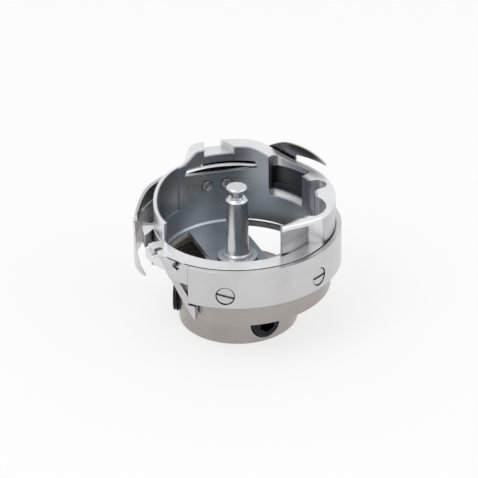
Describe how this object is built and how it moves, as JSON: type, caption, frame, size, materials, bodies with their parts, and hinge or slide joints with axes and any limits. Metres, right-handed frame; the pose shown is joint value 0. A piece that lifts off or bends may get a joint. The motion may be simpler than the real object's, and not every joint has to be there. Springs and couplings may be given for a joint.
{
  "type": "rotary sewing hook with bobbin case base",
  "caption": "Steel rotary hook on a clamping hub, carrying a free-turning bobbin case base with a centre stud, for a lockstitch sewing machine.",
  "frame": {"origin": "centre of the hub's bottom face, on the hook axis", "axes": "+Z along the hook axis from the hub to the open side of the bowl, +X to the side of the needle pockets, the stop notch towards +Y"},
  "size_m": [0.04, 0.04, 0.0291],
  "materials": {
    "body_steel": "satin turned steel, warm grey",
    "bright_steel": "ground and polished steel",
    "bowl_steel": "satin turned steel, cool grey",
    "stud_steel": "polished steel",
    "screw_steel": "ground steel",
    "spring_steel": "blued spring steel",
    "black_steel": "blackened steel"
  },
  "bodies": {
    "hook": {"hook_body": "body_steel", "hook_gib": "bright_steel", "gib_screw_1": "screw_steel", "gib_screw_2": "screw_steel", "gib_screw_3": "screw_steel", "thread_guard": "bright_steel", "thread_guard_screw_1": "screw_steel", "thread_guard_screw_2": "screw_steel", "needle_guard": "bright_steel"},
    "case_base": {"bobbin_case_base": "bowl_steel", "centre_stud": "stud_steel", "case_leaf_spring": "spring_steel", "leaf_screw_1": "screw_steel", "leaf_screw_2": "screw_steel"},
    "set_screw_front": {"set_screw_1": "black_steel"},
    "set_screw_back": {"set_screw_2": "black_steel"},
    "set_screw_left": {"set_screw_3": "black_steel"}
  },
  "joints": [
    {"name": "case_base_turn", "type": "hinge", "parent": "hook", "child": "case_base", "pos_m": [0, 0, 0.0186], "axis": [0, 0, 1], "continuous": true},
    {"name": "set_screw_front_slide", "type": "slide", "parent": "hook", "child": "set_screw_front", "axis": [-0.454, 0.891, 0], "range_m": [-0.0015, 0.0021]},
    {"name": "set_screw_back_slide", "type": "slide", "parent": "hook", "child": "set_screw_back", "axis": [-0.5446, -0.8387, 0], "range_m": [-0.0015, 0.0021]},
    {"name": "set_screw_left_slide", "type": "slide", "parent": "hook", "child": "set_screw_left", "axis": [0.9986, -0.0523, 0], "range_m": [-0.001, 0.0026]}
  ]
}
